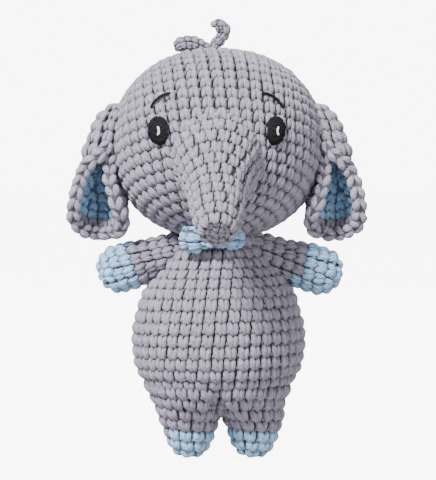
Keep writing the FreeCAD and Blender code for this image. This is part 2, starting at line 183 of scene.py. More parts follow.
def tube_surface(path, radii, across=(1.0, 0.0, 0.0), flat=1.0):
    """A surface round a curved axis, from (share of its length, radius). v follows the skin's length."""
    axis, length = by_length(path)
    radius = smooth(*np.array(radii, float).T)
    shares = np.linspace(0, 1, 300)
    skin = np.concatenate([[0], np.cumsum(np.hypot(np.diff(shares) * length, np.diff(radius(shares))))])
    across = np.array(across, float)

    def at(u, v):
        u, v = np.broadcast_arrays(np.asarray(u, float), np.asarray(v, float))
        share = np.interp(np.clip(v, 0, 1), skin / skin[-1], shares)
        p = axis(share)
        along = unit(axis(share + 1e-3) - axis(share - 1e-3))
        side = unit(across - (along @ across)[..., None] * along)
        other = np.cross(along, side)
        r = np.maximum(radius(share), 0.02)[..., None]
        turn = (2 * np.pi * u)[..., None]
        return p + r * (np.cos(turn) * side + flat * np.sin(turn) * other)

    return at, skin[-1]


def normals(surface, u, v, sign=1.0):
    """Unit normals, pointing away from the other side of the surface, or towards it for a sign of -1."""
    e = NEAR
    du = surface(u + e, v) - surface(u - e, v)
    low, high = np.clip(v - e, 2e-3, 1), np.clip(v + e, 4e-3, 1)
    dv = surface(u, high) - surface(u, low)
    n = unit(np.cross(du, dv))
    if not hasattr(surface, "way"):
        a, b = np.meshgrid(np.linspace(0, 1, 12, endpoint=False), np.linspace(0.2, 0.8, 7))
        d = np.cross(surface(a + e, b) - surface(a - e, b), surface(a, b + e) - surface(a, b - e))
        surface.way = 1.0 if (d * (surface(a, b) - surface(a + 0.5, b))).sum() > 0 else -1.0
    return n * surface.way * sign


# ------------------------------------------------ meshes

def build(name, parts, material, **attributes):
    """One mesh object from (points in mm, [face index arrays]) parts, with named point attributes."""
    points, groups, base = [], {}, 0
    for co, faces in parts:
        points.append(np.asarray(co, float).reshape(-1, 3))
        for f in faces:
            groups.setdefault(f.shape[1], []).append(f + base)
        base += len(points[-1])
    co = np.concatenate(points) * MM + np.array([0, AXIS_Y, 0])
    loops = [np.concatenate(g).ravel() for g in groups.values()]
    sizes = [np.full(len(np.concatenate(g)), k) for k, g in groups.items()]
    loops, sizes = np.concatenate(loops), np.concatenate(sizes)
    mesh = bpy.data.meshes.new(name)
    mesh.vertices.add(len(co))
    mesh.vertices.foreach_set("co", co.astype(np.float32).ravel())
    mesh.loops.add(len(loops))
    mesh.loops.foreach_set("vertex_index", loops.astype(np.int32))
    mesh.polygons.add(len(sizes))
    starts = np.concatenate([[0], np.cumsum(sizes)[:-1]])
    mesh.polygons.foreach_set("loop_start", starts.astype(np.int32))
    mesh.polygons.foreach_set("loop_total", sizes.astype(np.int32))
    mesh.polygons.foreach_set("use_smooth", np.ones(len(sizes), bool))
    for key, value in attributes.items():
        value = np.asarray(value, np.float32)
        kind = "FLOAT_VECTOR" if value.ndim == 2 else "FLOAT"
        layer = mesh.attributes.new(key, kind, "POINT")
        layer.data.foreach_set("vector" if value.ndim == 2 else "value", value.ravel())
    mesh.update()
    mesh.validate()
    made = bpy.data.objects.new(name, mesh)
    bpy.context.scene.collection.objects.link(made)
    made.data.materials.append(material)
    return made


def grid_faces(rows, cols, cap=True):
    """Faces of a tube of rows x cols points, closed round, with its ends capped."""
    i = np.arange(rows - 1)[:, None] * cols
    j = np.arange(cols)[None, :]
    k = (j + 1) % cols
    quads = np.stack([i + j, i + k, i + cols + k, i + cols + j], -1).reshape(-1, 4)
    faces = [quads]
    if cap:
        faces.append(np.arange(cols)[None, ::-1])
        faces.append((np.arange(cols) + (rows - 1) * cols)[None, :])
    return faces


# Each lobe of yarn in a stitch: where it starts and ends, across and up, in stitches; half its width; how
# high its crest stands and how low its end lies, in mm; and how many rings and sides it has.
LOBES = [
    ((-0.27, 1.04), (0.00, -0.10), 0.275, 1.40, -0.9, (8, 7)),
    ((0.29, 1.00), (0.21, -0.06), 0.235, 1.15, -1.0, (8, 7)),
    ((-0.46, 0.04), (-0.27, 0.50), 0.175, 0.35, -1.9, (5, 5)),
]
ROOT = -1.9  # how low a lobe starts, in mm
THIN = 0.45  # a lobe's width at its ends, as a share of its middle's, and how much of its thickness they lose


def repeated(faces, total, count):
    """The faces of one stitch, of count points, repeated for a number of stitches."""
    offset = np.arange(total)[:, None, None] * count
    return [(f[None] + offset).reshape(-1, f.shape[1]) for f in faces]


def stitch_template(lobes, wide=STITCH_WIDE):
    """One stitch: points (across and up in stitches, height in mm), their places in the yarn, and faces."""
    tall, thick = STITCH_TALL, YARN_THICK
    points, yarn, faces, base = [], [], [], 0
    for number, (start, end, half, crest, foot, (rings, sides)) in enumerate(lobes):
        t = np.linspace(0, 1, rings)
        bell = np.sin(np.pi * np.clip(t, 0.02, 0.98))
        low = ROOT + (foot - ROOT) * t
        start, end = np.array(start), np.array(end)
        line = start + (end - start) * t[:, None]
        d = (end - start) * (wide, tall)
        d = d / np.hypot(*d)
        side = np.array([d[1], -d[0]])
        fat = THIN + (1 - THIN) * bell ** 0.6
        top = crest - thick
        height = low + (top - low) * bell ** 0.6
        turn = 2 * np.pi * np.arange(sides) / sides
        across = np.cos(turn)[None, :] * half * fat[:, None]
        out = np.sin(turn)[None, :] * thick * (1 - THIN + THIN * bell[:, None])
        xy = line[:, None, :] + across[..., None] * side * (1.0, wide / tall)
        points.append(np.concatenate([xy, (height[:, None] + out)[..., None]], -1).reshape(-1, 3))
        length = math.hypot((end[0] - start[0]) * wide, (end[1] - start[1]) * tall)
        s, a = np.broadcast_arrays(t[:, None] * length, (turn / (2 * np.pi))[None, :])
        yarn.append(np.stack([s, a * 2 * math.pi * half * wide, np.full(s.shape, number)], -1).reshape(-1, 3))
        for f in grid_faces(rings, sides):
            faces.append(f[:, ::-1] + base)
        base += rings * sides
    return np.concatenate(points), np.concatenate(yarn), faces


TEMPLATE = stitch_template(LOBES)
# The head has the most stitches, so each has fewer rings and sides.
HEAD_TEMPLATE = stitch_template([(*lobe, (rings - 1, sides - 1)) for *lobe, (rings, sides) in LOBES])


def lay(surface, us, vs, wide, tall, template=TEMPLATE, inward=False, proud=0.0, depth_scale=1.0):
    """Lays stitches on a surface at (us, vs). wide and tall are one stitch's size as shares of u and v."""
    points, yarn, faces = template
    total, count, e = len(us), len(points), 1e-3
    side = -1.0 if inward else 1.0
    mid = np.clip(vs, 0.01, 0.99)
    du = surface(us + e, mid) - surface(us - e, mid)
    dv = surface(us, mid + e) - surface(us, mid - e)
    hand = 1.0 if (np.cross(du, dv) * normals(surface, us, mid, side)).sum() > 0 else -1.0
    wider, across, taller, up, turn, out = (RNG.normal(size=(total, 6)) * WOBBLE).T[..., None]
    x = points[:, 0] * (1 + wider) + across
    y = (points[:, 1] - 0.5) * (1 + taller) + up
    x, y = x - turn * y, y + turn * x
    h = points[:, 2] * depth_scale + out + proud
    shear = (du * dv).sum(-1) / np.maximum((dv * dv).sum(-1), 1e-9)
    u = us[:, None] + hand * x * np.reshape(wide, (-1, 1))
    v = vs[:, None] + y * tall - SKEW_OUT * shear[:, None] * (u - us[:, None])
    v = np.clip(v, 1e-3, 1.0)
    co = surface(u, v) + normals(surface, u, np.clip(v, 6e-3, 0.994), side) * h[..., None]
    tone = RNG.random(total)
    yarn = yarn * YARN_SCALE + tone[:, None, None] * YARN_SPREAD
    # Painted shade: how high each point stands in its stitch; the material darkens the low parts to the shade
    # colour.
    depth = np.broadcast_to(np.clip((points[:, 2] - DEEP) / DEPTH_RANGE, 0, 1), h.shape)
    return {"co": co, "faces": repeated(faces, total, count), "yarn": yarn, "depth": depth, "vs": vs,
            "tone": tone, "count": count, "template_faces": faces}


def crochet(surface, length, low=0.0, high=1.0, wide=STITCH_WIDE, tall=STITCH_TALL, spiral=True, keep=None,
            **look):
    """Works stitches over a surface from v = low to v = high, in a spiral or in closed rounds."""
    rows = max(1, round((high - low) * length / tall))
    step = (high - low) / (rows + (1 if spiral else 0))
    probe = np.linspace(0, 1, 121)
    us, vs, shares = [], [], []
    shift = 0.0
    # A spiral that starts at the surface's pole gets part of one more round, which closes the pole.
    first = -1 if spiral and low == 0.0 else 0
    for row in range(first, rows):
        middle = low + step * row + step / 2
        ring = surface(probe, np.full_like(probe, min(max(middle, 0.3 * step), 0.996)))
        way = so_far(ring)
        n = max(5, round(way[-1] / wide))
        # The columns line up in front, and are spaced evenly across the seam at the back.
        from_back = np.arange(n) + 0.5
        ease = np.clip(np.minimum(from_back, n - from_back) / (EASED * n), 0, 1)
        at = from_back + ((n / 2 + shift) % 1.0 - 0.5) * ease * ease * (3 - 2 * ease)
        if row < 0:
            at = at[at > CLOSING * n]
        before, u, after = (np.interp(((at + d) / n) % 1.0 * way[-1], way, probe) for d in (-0.25, 0, 0.25))
        us.append(u)
        vs.append(middle + (u * step if spiral else 0.0 * u))
        shares.append((after - before) % 1.0 * 2)
        shift += LEAN
    us, vs, shares = (np.concatenate(x) for x in (us, vs, shares))
    if keep is not None:
        kept = keep(us, vs)
        us, vs, shares = us[kept], vs[kept], shares[kept]
    return lay(surface, us, vs, shares, step, **look)


def chosen(work, mask):
    """The stitches of a piece of work that the mask keeps."""
    picked = {key: work[key][mask] for key in ("co", "yarn", "depth", "vs", "tone")}
    faces = repeated(work["template_faces"], int(mask.sum()), work["count"])
    return {**work, **picked, "faces": faces}


def ground(surface, low=0.0, high=1.0, around=64, along=40, sink=BED):
    """The closed ground under the stitches: the surface itself, sunk a little, painted in the yarn's shade
    colour as painted shade.
    """
    u = np.linspace(0, 1, around, endpoint=False)
    v = np.linspace(max(low, 0.004), min(high, 0.996), along)
    uu, vv = np.meshgrid(u, v)
    co = surface(uu, vv) - normals(surface, uu, vv) * sink
    return co.reshape(-1, 3), grid_faces(along, around)


def fabric(name, works, grounds, material, body, replaces, blend=None):
    """A crocheted piece, its stitches and the ground under them. It rides a body, or, given a blend, rides
    none.
    """
    parts = [(w["co"].reshape(-1, 3), w["faces"]) for w in works] + list(grounds)
    bare = sum(len(g[0]) for g in grounds)
    yarn = np.concatenate([w["yarn"].reshape(-1, 3) for w in works] + [np.zeros((bare, 3))])
    # The ground's points get 0, so the ground is painted all over in the shade colour, as painted shade.
    depth = np.concatenate([w["depth"].ravel() for w in works] + [np.zeros(bare)])
    tone = np.concatenate([np.repeat(w["tone"], w["count"]) for w in works] + [np.full(bare, 0.5)])
    made = build(name, parts, material, yarn=yarn, depth=depth, tone=tone)
    if blend:
        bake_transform(made)
    else:
        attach(made, body)
    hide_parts(*replaces)
    return made


# ------------------------------------------------ materials

MOTTLE = 0.19  # how much the yarn's brightness varies
PLY_SCALE = 0.20  # the plies show about every 1.6 mm


def node(tree, kind, **values):
    """A node with its inputs, or its own settings, by name."""
    made = tree.nodes.new(kind)
    for key, value in values.items():
        if key in made.inputs:
            made.inputs[key].default_value = value
        else:
            setattr(made, key, value)
    return made


def mix_colours(tree, blend_type, factor, a, b):
    """A mix of two colours, each a value or another node's output."""
    mix = tree.nodes.new("ShaderNodeMix")
    mix.data_type = "RGBA"
    mix.blend_type = blend_type
    for socket, value in ((mix.inputs[0], factor), (mix.inputs[6], a), (mix.inputs[7], b)):
        if isinstance(value, bpy.types.NodeSocket):
            tree.links.new(value, socket)
        else:
            socket.default_value = value
    return mix.outputs[2]


def ramp(tree, source, stops):
    """A ramp of greys, from (place, brightness) stops."""
    made = tree.nodes.new("ShaderNodeValToRGB")
    while len(made.color_ramp.elements) < len(stops):
        made.color_ramp.elements.new(0.5)
    for element, (place, grey) in zip(made.color_ramp.elements, stops):
        element.position = place
        element.color = (grey, grey, grey, 1.0)
    tree.links.new(source, made.inputs[0])
    return made.outputs[0]


def noise(tree, source, scale, detail=3.0, roughness=0.6):
    """Noise over the source's coordinates."""
    made = node(tree, "ShaderNodeTexNoise", Scale=scale, Detail=detail, Roughness=roughness)
    tree.links.new(source, made.inputs["Vector"])
    return made.outputs[0]


def bump(tree, height, strength, distance, before=None):
    """Relief from a height, on top of the relief before it."""
    made = node(tree, "ShaderNodeBump", Strength=strength, Distance=distance)
    tree.links.new(height, made.inputs["Height"])
    if before:
        tree.links.new(before, made.inputs["Normal"])
    return made.outputs[0]


def yarn_material(name, colour, shade_colour, fuzz=1.0, sheen=0.3, rough=0.95):
    """Cotton yarn: mottled, a little fuzzy, with fibres along the strand, and painted shade that darkens it
    between the stitches.
    """
    made = bpy.data.materials.new(name)
    made.use_nodes = True
    tree = made.node_tree
    tree.nodes.clear()
    out = node(tree, "ShaderNodeOutputMaterial")
    shader = node(tree, "ShaderNodeBsdfPrincipled")
    shader.inputs["Roughness"].default_value = rough
    shader.inputs["Specular IOR Level"].default_value = 0.12
    shader.inputs["Sheen Weight"].default_value = sheen
    shader.inputs["Sheen Roughness"].default_value = 0.6
    tree.links.new(shader.outputs[0], out.inputs["Surface"])
    yarn = node(tree, "ShaderNodeAttribute", attribute_name="yarn").outputs["Vector"]
    depth = node(tree, "ShaderNodeAttribute", attribute_name="depth").outputs["Fac"]
    tone = node(tree, "ShaderNodeAttribute", attribute_name="tone").outputs["Fac"]
    place = node(tree, "ShaderNodeTexCoord").outputs["Object"]
    stretch = node(tree, "ShaderNodeMapping")
    stretch.inputs["Rotation"].default_value = (0, 0, 0.30)
    stretch.inputs["Scale"].default_value = (0.22, 1.25, 1.0)
    tree.links.new(yarn, stretch.inputs["Vector"])
    fibres = noise(tree, stretch.outputs[0], 1.5, 3.0, 0.62)
    twist = node(tree, "ShaderNodeMapping")
    twist.inputs["Rotation"].default_value = (0, 0, 0.95)
    tree.links.new(yarn, twist.inputs["Vector"])
    wave = node(tree, "ShaderNodeTexWave", Scale=PLY_SCALE, Distortion=1.2, Detail=2.0)
    tree.links.new(twist.outputs[0], wave.inputs["Vector"])
    plies = wave.outputs["Fac"]
    clumps = noise(tree, place, 520.0, 4.0, 0.68)
    specks = noise(tree, place, 1900.0, 2.0, 0.7)
    wide = noise(tree, place, 38.0, 2.0)
    base = mix_colours(tree, "MULTIPLY", 1.0, ramp(tree, clumps, [(0.34, 1 - MOTTLE), (0.66, 1 + MOTTLE)]),
                       (*colour, 1))
    for source, stops in (
            (fibres, [(0.34, 1 - 1.7 * MOTTLE), (0.66, 1 + 0.9 * MOTTLE)]),
            (plies, [(0.0, 1 - 0.9 * MOTTLE), (0.45, 1.0), (1.0, 1 + 0.35 * MOTTLE)]),
            (specks, [(0.3, 1 - 0.6 * MOTTLE), (0.7, 1 + 0.5 * MOTTLE)]),
            (tone, [(0.0, 0.95), (1.0, 1.045)]),
            (wide, [(0.35, 0.97), (0.65, 1.03)])):
        base = mix_colours(tree, "MULTIPLY", 1.0, base, ramp(tree, source, stops))
    # Painted shade: low in each stitch and on the ground under it, the colour goes over to the shade colour.
    shade = ramp(tree, depth, [(0.0, 0.0), (0.30, 0.35), (0.78, 1.0)])
    tree.links.new(mix_colours(tree, "MIX", shade, (*shade_colour, 1), base), shader.inputs["Base Color"])
    relief = bump(tree, plies, 0.7, 0.0005)
    relief = bump(tree, fibres, 0.8, 0.0011, relief)
    relief = bump(tree, clumps, 0.7 * fuzz, 0.0007, relief)
    relief = bump(tree, specks, 0.5 * fuzz, 0.0003, relief)
    tree.links.new(relief, shader.inputs["Normal"])
    return made


# Each yarn's second colour is its painted shade, for the bottoms of the stitches and the ground under them.
GREY = yarn_material("grey_cotton", (0.367, 0.337, 0.432), (0.07, 0.062, 0.088))
BLUE = yarn_material("blue_cotton", (0.42, 0.69, 1.0), (0.07, 0.13, 0.25))
BLACK = yarn_material("black_floss", (0.011, 0.011, 0.013), (0.003, 0.003, 0.004), fuzz=0.4, rough=0.6,
                      sheen=0.0)
WHITE = yarn_material("white_floss", (0.85, 0.86, 0.9), (0.6, 0.6, 0.65))


# ------------------------------------------------ head

HEAD_LENGTH = math.pi * 56.5  # half way round the head, from the crown to under the chin
LAST_ROUND = 0.985  # the head's and the body's rounds end here, hidden at the neck
work = crochet(head_surface, HEAD_LENGTH, high=LAST_ROUND, template=HEAD_TEMPLATE)
fabric("head_knit", [work], [ground(head_surface)], GREY, "head", ["head_cover", "head_stuffing"])

# ------------------------------------------------ body, from the hips up to the neck

HIP_X = 0.9  # the filled body sits a little off the head's middle
# The body's height and radius.
BODY_PROFILE = [
    (24.0, 0.5), (24.6, 7.0), (26.4, 14.0), (29.6, 22.0), (34.0, 29.8), (40.0, 37.8), (46.0, 43.0),
    (50.8, 45.7), (57.7, 47.7), (67.9, 48.7), (74.8, 48.2), (81.7, 46.7), (88.5, 44.8), (95.4, 42.4),
    (99.0, 40.0), (104.2, 35.8), (110.0, 30.6), (117.2, 25.4), (122.5, 21.8), (128.0, 20.4), (133.0, 20.0),
    (139.0, 19.0)]
body_surface, body_length = turned_surface(BODY_PROFILE, HIP_X)
work = crochet(body_surface, body_length, high=LAST_ROUND)
fabric("body_knit", [work], [ground(body_surface)], GREY, "torso", ["body_cover", "body_stuffing"])

# ------------------------------------------------ legs and arms


def frame_point(x, y, z):
    """A place in the row's frame, in metres, from millimetres about the toy's axis."""
    return (x * MM, y * MM + AXIS_Y, z * MM)


def limb(name, end_node, surface, length, change, start, end, keep=None):
    """A limb worked from its closed end: blue up to the change of yarn, then grey."""
    work = crochet(surface, length, keep=keep)
    blue = work["vs"] < change
    blend = ("torso", name, start, end)
    fabric(name + "_sleeve_knit", [chosen(work, ~blue)], [ground(surface, change, 1.0, 36, 20)], GREY, None,
           [name + "_cover", name + "_stuffing"], blend=blend)
    fabric(name + "_end_knit", [chosen(work, blue)], [ground(surface, 0.0, change, 36, 16)], BLUE, None,
           [end_node], blend=blend)


# The body's radius at the hips by height, carried on down for the legs.
HIP_OUTLINE = smooth([0, 20, 26.8, 30.3, 37.1, 44.0, 50.8], [35.9, 35.9, 36.1, 36.9, 39.4, 43.0, 45.8])
HIP_SEAT = 0.46  # how far out the middle of each leg's top is, as a share of that radius
LEG_LOW, LEG_RISE = 17.0, 22.0  # a leg starts to take the body's shape at this height, and over this rise
FAR = 999.0  # mm, where a direction never meets the plane between the legs
ROUNDED = 6  # more makes the corner between that plane and the skin sharper


def leg_surface(side, out, forward, profile):
    """A leg's skin: round at the foot, and towards the hip it takes its own half of the body's section."""
    line, length = by_length(profile)

    def at(u, v):
        p = line(v)
        z, r = p[..., 0], np.maximum(p[..., 1], 0.02)
        turn = 2 * np.pi * u
        x, y = np.sin(turn), np.cos(turn)
        round_x, round_y = out + r * x, forward + r * y
        whole = HIP_OUTLINE(z)
        seat = HIP_SEAT * whole * side
        along = x * seat
        to_skin = -along + np.sqrt(np.maximum(along ** 2 + whole ** 2 - seat ** 2, 1e-6))
        # How far the plane between the legs is, and then the nearer of plane and skin, its corner rounded.
        inwards = x * side < -0.05
        to_middle = np.where(inwards, -seat / np.where(inwards, x, 1), FAR)
        reach = (to_skin ** -ROUNDED + to_middle ** -ROUNDED) ** (-1 / ROUNDED)
        t = np.clip((z - LEG_LOW) / LEG_RISE, 0, 1)
        t = t * t * (3 - 2 * t)
        hip_x, hip_y = HIP_X + seat + reach * x, reach * y
        return np.stack([round_x * (1 - t) + hip_x * t, round_y * (1 - t) + hip_y * t, z], -1)

    return at, length


LEG_PROFILE = [(1.8, 0.5), (1.9, 3.6), (2.7, 6.4), (4.8, 9.2), (8.0, 11.2), (11.5, 12.8), (15.0, 14.0),
               (18.5, 15.2), (23.4, 16.8), (30.0, 18.0), (38.0, 18.0), (46.0, 18.0)]
LEG_FORWARD = -3.4
LEGS_MEET = 0.72  # from here up, as a share of a leg's skin, only the stitches on its outer side are kept


def make_leg(word, side, out, change):
    """A leg, with its foot's middle at x = out, and the change of yarn at a share of its skin."""

    def outside(u, v):
        return (v < LEGS_MEET) | (np.sin(2 * np.pi * u) * side > -0.45)

    surface, length = leg_surface(side, out, LEG_FORWARD, LEG_PROFILE)
    limb(word + "_leg", word + "_foot_cover", surface, length, change, frame_point(out, 0, 36),
         frame_point(out, 0, 20), keep=outside)


make_leg("left", 1, 20.9, 0.46)
make_leg("right", -1, -15.4, 0.40)

ARM_ROOT_X, ARM_ROOT_Z = 20.0, 119.0
ARM_DROOP = math.radians(17)
ARM_IN, ARM_DEEP = 2, 11  # how far an arm's skin, and then its hidden end, go in past its root
ARM_CHANGE = 0.52  # where the yarn changes from blue to grey, as a share of the skin
ARM_RADII = [(0.0, 0.3), (0.012, 4.6), (0.05, 8.4), (0.11, 11.2), (0.20, 12.9), (0.34, 13.1), (0.46, 12.2),
             (0.60, 11.2), (0.8, 10.6), (1.0, 10.4)]


def make_arm(word, side, reach):
    """An arm from its hand's tip, reach mm from its root, to an end inside the body."""
    root = np.array([side * ARM_ROOT_X, 0.0, ARM_ROOT_Z])
    way = np.array([side * math.cos(ARM_DROOP), -0.03, -math.sin(ARM_DROOP)])
    tip = root + way * reach
    path = [tip, tip - way * 18, tip - way * 36, root - way * ARM_IN, root - way * ARM_DEEP]
    outside_body = (reach + ARM_IN) / (reach + ARM_DEEP)
    radii = [(share * outside_body, r) for share, r in ARM_RADII] + [(1.0, 10.0)]
    surface, length = tube_surface(path, radii, across=(0, 1, 0))
    limb(word + "_arm", word + "_hand_cover", surface, length, ARM_CHANGE * outside_body,
         frame_point(side * 24, 0, 0), frame_point(side * 36, 0, 0))


make_arm("left", 1, 52.6)
make_arm("right", -1, 49.0)

# ------------------------------------------------ trunk

TRUNK_PATH = [(0.3, -100.4, 129.8), (0.3, -92.0, 136.6), (0.2, -80.0, 146.0), (0.0, -66.0, 157.0),
              (0.0, -52.0, 166.6), (0.0, -38.0, 173.5)]
TRUNK_RADII = [(0.0, 0.3), (0.003, 5.2), (0.010, 7.4), (0.03, 9.0), (0.09, 10.8), (0.16, 12.2), (0.30, 14.0),
               (0.46, 15.8), (0.58, 18.0), (0.68, 20.6), (0.80, 24.2), (0.90, 26.0), (1.0, 26.6)]
TRUNK_END = 0.085  # the tip's disc, worked smaller and sunk a little, ends here
trunk_surface, trunk_length = tube_surface(TRUNK_PATH, TRUNK_RADII)
end = crochet(trunk_surface, trunk_length, high=TRUNK_END, wide=4.2, tall=3.2, spiral=False, depth_scale=0.55,
              proud=-1.3)
work = crochet(trunk_surface, trunk_length, low=TRUNK_END, high=0.97, wide=6.7, depth_scale=0.9, spiral=False)
fabric("trunk_knit", [end, work], [ground(trunk_surface, sink=1.6)], GREY, None,
       ["trunk_cover", "trunk_stuffing", "trunk_base"],
       blend=("head", "trunk", frame_point(0, -60, 164), frame_point(0, -78, 147)))

# ------------------------------------------------ ears

# An ear's sections from its top to its foot: height, middle across, and half width.
EAR_SECTIONS = [
    (199.5, 58.8, 1.2), (198.0, 59.0, 2.6), (194.7, 60.6, 4.4), (191.3, 62.2, 5.7), (184.4, 63.9, 6.9),
    (177.6, 65.6, 8.0), (170.7, 66.9, 9.0), (163.9, 67.7, 10.3), (157.0, 67.8, 12.7), (150.0, 67.3, 15.2),
    (143.3, 66.6, 16.0), (138.0, 66.3, 15.4), (133.5, 66.0, 13.4), (129.8, 65.4, 9.4), (127.4, 64.8, 4.5)]
EAR_TOP, EAR_FOOT = EAR_SECTIONS[0][0], EAR_SECTIONS[-1][0]
# How far round each flap reaches from the middle of the back, in degrees, from the foot (-1) to the top (1).
OUTER_FLAP = [(-1.0, 60.0), (-0.85, 94.0), (-0.56, 120.0), (-0.37, 129.0), (-0.2, 131.0), (0.07, 144.0),
              (0.24, 182.0), (0.4, 204.0), (1.0, 206.0)]
INNER_FLAP = [(-1.0, 60.0), (-0.85, 100.0), (-0.56, 136.0), (-0.37, 141.0), (-0.2, 141.0), (0.07, 134.0),
              (0.25, 130.0), (1.0, 130.0)]
EAR_Y = -8.0
EAR_SKIN = 38.0  # mm from the middle of an ear's back to its rim
LINING_EDGE = 0.80  # the blue lining ends here, as a share of that way, and a grey round follows it
# The ear's closed top, which is sewn to the head: height, middle across, half width and half depth.
EAR_CAP = [
    (201.6, 54.5, 0.5, 0.5), (201.0, 55.0, 4.0, 3.0), (199.0, 56.0, 6.8, 5.4), (195.6, 58.2, 8.0, 7.4),
    (189.0, 61.5, 8.8, 8.8), (182.0, 63.6, 9.2, 9.6), (175.0, 65.8, 10.0, 10.6), (168.0, 67.2, 10.8, 11.6)]


def ear_cap(side):
    """The closed top of an ear, in rounds from the place where it is sewn to the head."""
    heights, *measures = (np.array(c[::-1]) for c in zip(*EAR_CAP))
    middle, wide, shade_colour = (smooth(heights, measure) for measure in measures)
    foot, top = heights[0], heights[-1]
    power = 2.6  # between an ellipse and a box

    def at(u, v):
        u, v = np.broadcast_arrays(np.asarray(u, float), np.asarray(v, float))
        z = top + (foot - top) * np.clip(v, 0, 1.02) ** 1.25
        turn = 2 * np.pi * u
        x, y = np.sin(turn), np.cos(turn)
        square = 1 / (np.abs(x) ** power + np.abs(y) ** power) ** (1 / power)
        return np.stack([side * (middle(z) + wide(z) * square * x), EAR_Y + shade_colour(z) * square * y, z], -1)

    return at


def ear_sheet(side):
    """An ear's sheet: as a disc, u round it and v from the middle to the rim, and by flap and height."""
    heights, centres, halves = (np.array(c[::-1]) for c in zip(*EAR_SECTIONS))
    centre, half = smooth(heights, centres), smooth(heights, halves)
    outer, inner = smooth(*np.array(OUTER_FLAP).T), smooth(*np.array(INNER_FLAP).T)

    def flat(s, q):
        """s runs from the inner flap's edge (-1) to the outer's, and q from the foot (-1) to the top."""
        z = (EAR_TOP + EAR_FOOT) / 2 + q * (EAR_TOP - EAR_FOOT) / 2
        turn = np.radians(np.where(s > 0, outer(q), inner(q))) * s
        # The outer flap stands clear of the inner one where it folds right over, and the foot curls forward.
        over = 1 + 0.16 * np.clip((turn - 2.2) / 0.9, 0, 1) * np.clip((q - 0.05) / 0.3, 0, 1)
        a = np.maximum(half(z), 0.5) * over
        curl = 5.0 * np.clip(-0.55 - q, 0, 1) ** 1.5
        y = EAR_Y + (0.92 * a + 1.5) * np.cos(turn) - curl
        return np.stack([side * (centre(z) + a * np.sin(turn)), y, z], -1)

    def at(u, v):
        turn = 2 * np.pi * np.asarray(u, float)
        q = v * np.sin(turn) * 0.999
        s = v * np.cos(turn) * 0.999 / np.sqrt(np.maximum(1 - q * q, 1e-5))
        return flat(np.clip(s, -1, 1), q)

    return at, flat


# Two strands that cross, as in a plait, and a third behind them.
BRAID_LOBES = [((-0.42, 0.06), (-0.05, 1.22), 0.215, 1.5, -1.5, (9, 7)),
               ((0.44, 0.0), (0.10, 1.14), 0.20, 1.35, -1.5, (9, 7)),
               ((-0.52, -0.2), (-0.48, 0.8), 0.15, 0.5, -1.0, (5, 5))]
BRAID = stitch_template(BRAID_LOBES, wide=9.0)
BRAID_STEP = 6.6  # mm along the rim
BACK_TOP, LINING_TOP, RIM_TOP = 0.34, 0.46, 0.32  # where the back, the lining and the rim's inner end stop


def closed_sheet(at, share, near, far):
    """A thin closed ground inside an ear, between two depths in mm, out to a share of the way to the rim,
    painted in the shade colour as painted shade.
    """
    rows, around = 14, 56
    v = np.linspace(0.02, 0.985, rows) * share
    uu, vv = np.meshgrid(np.linspace(0, 1, around, endpoint=False), v)
    out = normals(at, uu, vv)
    co = np.concatenate([at(uu, vv) - out * near, (at(uu, vv) - out * far)[::-1]])
    return co.reshape(-1, 3), grid_faces(2 * rows, around)


def below(height):
    """Keeps an ear's stitches whose place up its disc, from -1 to 1, is under a height."""
    return lambda u, v: v * np.sin(2 * np.pi * u) < height


def make_ear(word, side):
    """An ear's back with its closed top, its lining and its rim."""
    at, flat = ear_sheet(side)
    blend = ("head", word + "_ear", frame_point(0, 0, 200), frame_point(0, 0, 188))
    back = crochet(at, EAR_SKIN, high=0.99, proud=0.2, depth_scale=0.9, keep=below(BACK_TOP), spiral=False)
    cap_surface = ear_cap(side)
    cap = crochet(cap_surface, 36.0, high=0.90, proud=0.2, depth_scale=0.9, spiral=False)
    cap_ground = ground(cap_surface, high=0.86, around=32, along=16)
    fabric(word + "_ear_back_knit", [back, cap], [closed_sheet(at, 1.0, 1.5, 2.3), cap_ground], GREY, None,
           [word + "_ear_back"], blend=blend)
    lining = crochet(at, EAR_SKIN, high=0.98, inward=True, proud=4.0, wide=8.0, tall=6.6,
                     keep=below(LINING_TOP), spiral=False)
    blue = lining["vs"] < LINING_EDGE
    floor = closed_sheet(at, LINING_EDGE, 2.4, 3.0)
    fabric(word + "_ear_lining_knit", [chosen(lining, blue)], [floor], BLUE, None, [word + "_ear_lining"],
           blend=blend)
    # The rim: a braided edge down the inner flap, round the foot and up the outer flap.
    bend = np.linspace(math.pi - math.asin(RIM_TOP), 2 * math.pi + math.asin(LINING_TOP), 60)
    q = np.sin(bend)
    s = np.where(np.cos(bend) < 0, -1.0, 1.0)
    easy = np.clip(np.abs(np.cos(bend)) / 0.35, 0, 1) * s
    line = flat(easy, q * 0.985)
    line[:, 1] -= 1.0
    rim, length = tube_surface(line, [(0, 2.2), (0.06, 3.2), (0.94, 3.2), (1, 2.2)], across=(0, 1, 0))
    n = round(length / BRAID_STEP)
    vs = (np.arange(n) + 0.5) / n
    braid = lay(rim, np.full(n, 0.5), vs, 0.50, 1 / n, template=BRAID, proud=0.3)
    behind = lay(rim, np.full(n, 0.02), vs + 0.5 / n, 0.46, 1 / n, proud=-0.1, depth_scale=0.9)
    rim_ground = ground(rim, around=16, along=60, sink=0.3)
    fabric(word + "_ear_rim_knit", [braid, behind, chosen(lining, ~blue)], [rim_ground], GREY, None,
           [word + "_ear_border"], blend=blend)


for word, side in SIDES:
    make_ear(word, side)

# ------------------------------------------------ hair curls and bow

